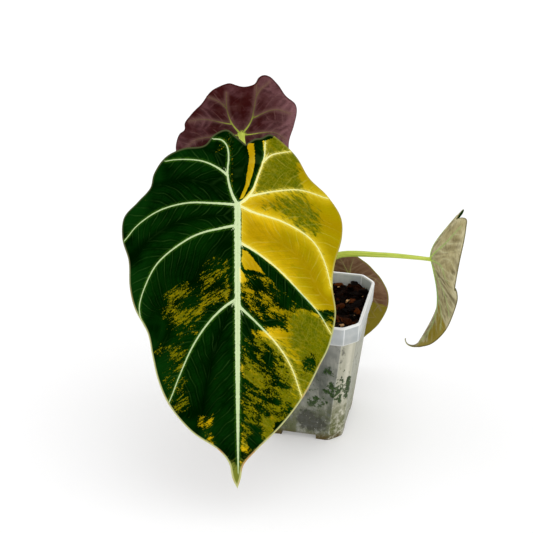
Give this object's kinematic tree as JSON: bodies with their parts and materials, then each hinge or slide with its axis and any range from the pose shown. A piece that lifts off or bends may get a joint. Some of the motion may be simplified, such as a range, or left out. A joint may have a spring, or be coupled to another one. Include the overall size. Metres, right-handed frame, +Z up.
{
  "type": "potted black velvet alocasia",
  "caption": "Black velvet alocasia with mottled velvety leaves, growing in bark soil in a clear square nursery pot.",
  "frame": {"origin": "on the surface that the pot stands on, at the middle of the whole plant's width and depth", "axes": "+Z up, the large front leaf hangs towards -Y, the leaf on the long sideways petiole points to +X"},
  "size_m": [0.1878, 0.1656, 0.214],
  "materials": {
    "clear_plastic": "frosted, scuffed, with green algae",
    "bark_soil": "loose damp bark and crumbs",
    "stem_skin": "ringed with leaf scars",
    "petiole_skin": "smooth satin",
    "front_blade": "velvety, mottled dark green and gold with pale veins",
    "back_blade": "velvety above, burgundy underneath with green veins",
    "right_blade": "velvety above, taupe and olive underneath with green veins",
    "low_blade": "velvety above, brown underneath with olive veins"
  },
  "bodies": {
    "root": {"pot": "clear_plastic", "soil": "bark_soil", "stem_base": "stem_skin", "petiole_front": "petiole_skin", "leaf_front": "front_blade", "petiole_back": "petiole_skin", "leaf_back": "back_blade", "petiole_right": "petiole_skin", "leaf_right": "right_blade", "petiole_low": "petiole_skin", "leaf_low": "low_blade"}
  },
  "joints": []
}
